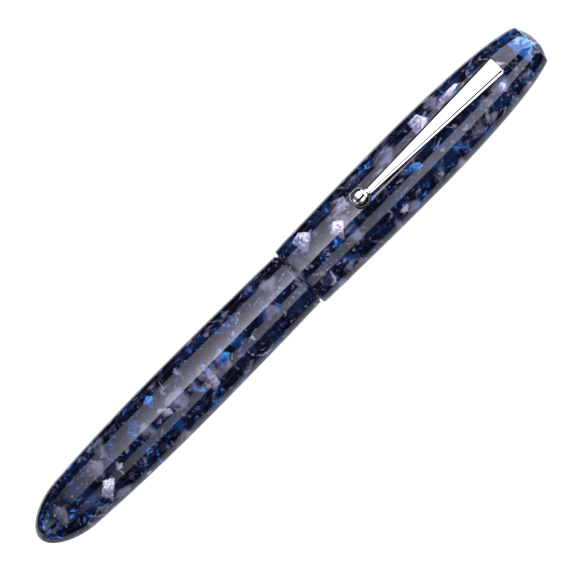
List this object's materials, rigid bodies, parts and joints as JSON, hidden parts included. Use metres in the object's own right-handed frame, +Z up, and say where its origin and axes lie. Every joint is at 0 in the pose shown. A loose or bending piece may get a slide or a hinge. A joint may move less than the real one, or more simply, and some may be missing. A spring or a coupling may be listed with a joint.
{
  "type": "fountain pen",
  "caption": "Capped fountain pen with a pearl resin barrel, screw-on domed cap, ball-ended clip, slit nib, finned feed and a piston converter inside.",
  "frame": {"origin": "on the surface the closed pen lies on, under the middle of its length", "axes": "+X along the pen towards the cap's crown, +Z up, towards the clip, +Y across"},
  "size_m": [0.149, 0.0164, 0.0206],
  "materials": {
    "navy_resin": "polished cast resin, near-black navy with pearl and blue chips",
    "polished_steel": "mirror chrome",
    "tipping": "ground hard alloy",
    "black_plastic": "moulded, satin",
    "grey_plastic": "moulded, satin",
    "clear_plastic": "clear moulded plastic",
    "seal_rubber": "soft black rubber"
  },
  "bodies": {
    "section": {"section": "navy_resin", "nib_housing": "black_plastic", "feed": "black_plastic", "nib": "polished_steel", "nib_tip_left": "tipping", "nib_tip_right": "tipping"},
    "barrel": {"barrel": "navy_resin"},
    "cap_liner": {"inner_cap": "black_plastic"},
    "cap": {"cap_shell": "navy_resin", "clip_screw": "polished_steel"},
    "clip": {"clip": "polished_steel", "clip_ball": "polished_steel"},
    "converter": {"converter_mouth": "black_plastic", "converter_tube": "clear_plastic", "converter_ferrule": "polished_steel", "converter_guide": "grey_plastic"},
    "knob": {"converter_knob": "black_plastic", "converter_spindle": "polished_steel"},
    "piston": {"piston_plunger": "grey_plastic", "piston_seal": "seal_rubber"}
  },
  "joints": [
    {"name": "barrel_pull", "type": "slide", "parent": "section", "child": "barrel", "axis": [-1, 0, 0], "range_m": [0, 0.07]},
    {"name": "cap_pull", "type": "slide", "parent": "section", "child": "cap_liner", "axis": [1, 0, 0], "range_m": [0, 0.06]},
    {"name": "cap_turn", "type": "hinge", "parent": "cap_liner", "child": "cap", "pos_m": [0.0375, 0, 0.00815], "axis": [1, 0, 0], "range_deg": [0, 540]},
    {"name": "clip_flex", "type": "hinge", "parent": "cap", "child": "clip", "pos_m": [0.0644, 0, 0.01535], "axis": [0, 1, 0], "range_deg": [0, 3], "stiffness_Nm_per_rad": 4.8},
    {"name": "converter_pull", "type": "slide", "parent": "section", "child": "converter", "axis": [-1, 0, 0], "range_m": [0, 0.007]},
    {"name": "knob_turn", "type": "hinge", "parent": "converter", "child": "knob", "pos_m": [-0.0445, 0, 0.00815], "axis": [1, 0, 0], "range_deg": [0, 1980]},
    {"name": "piston_slide", "type": "slide", "parent": "converter", "child": "piston", "axis": [-1, 0, 0], "range_m": [0, 0.022]}
  ],
  "couplings": [
    {"joint": "knob_turn", "follows": "piston_slide", "rad_per_m": 1570.8}
  ]
}
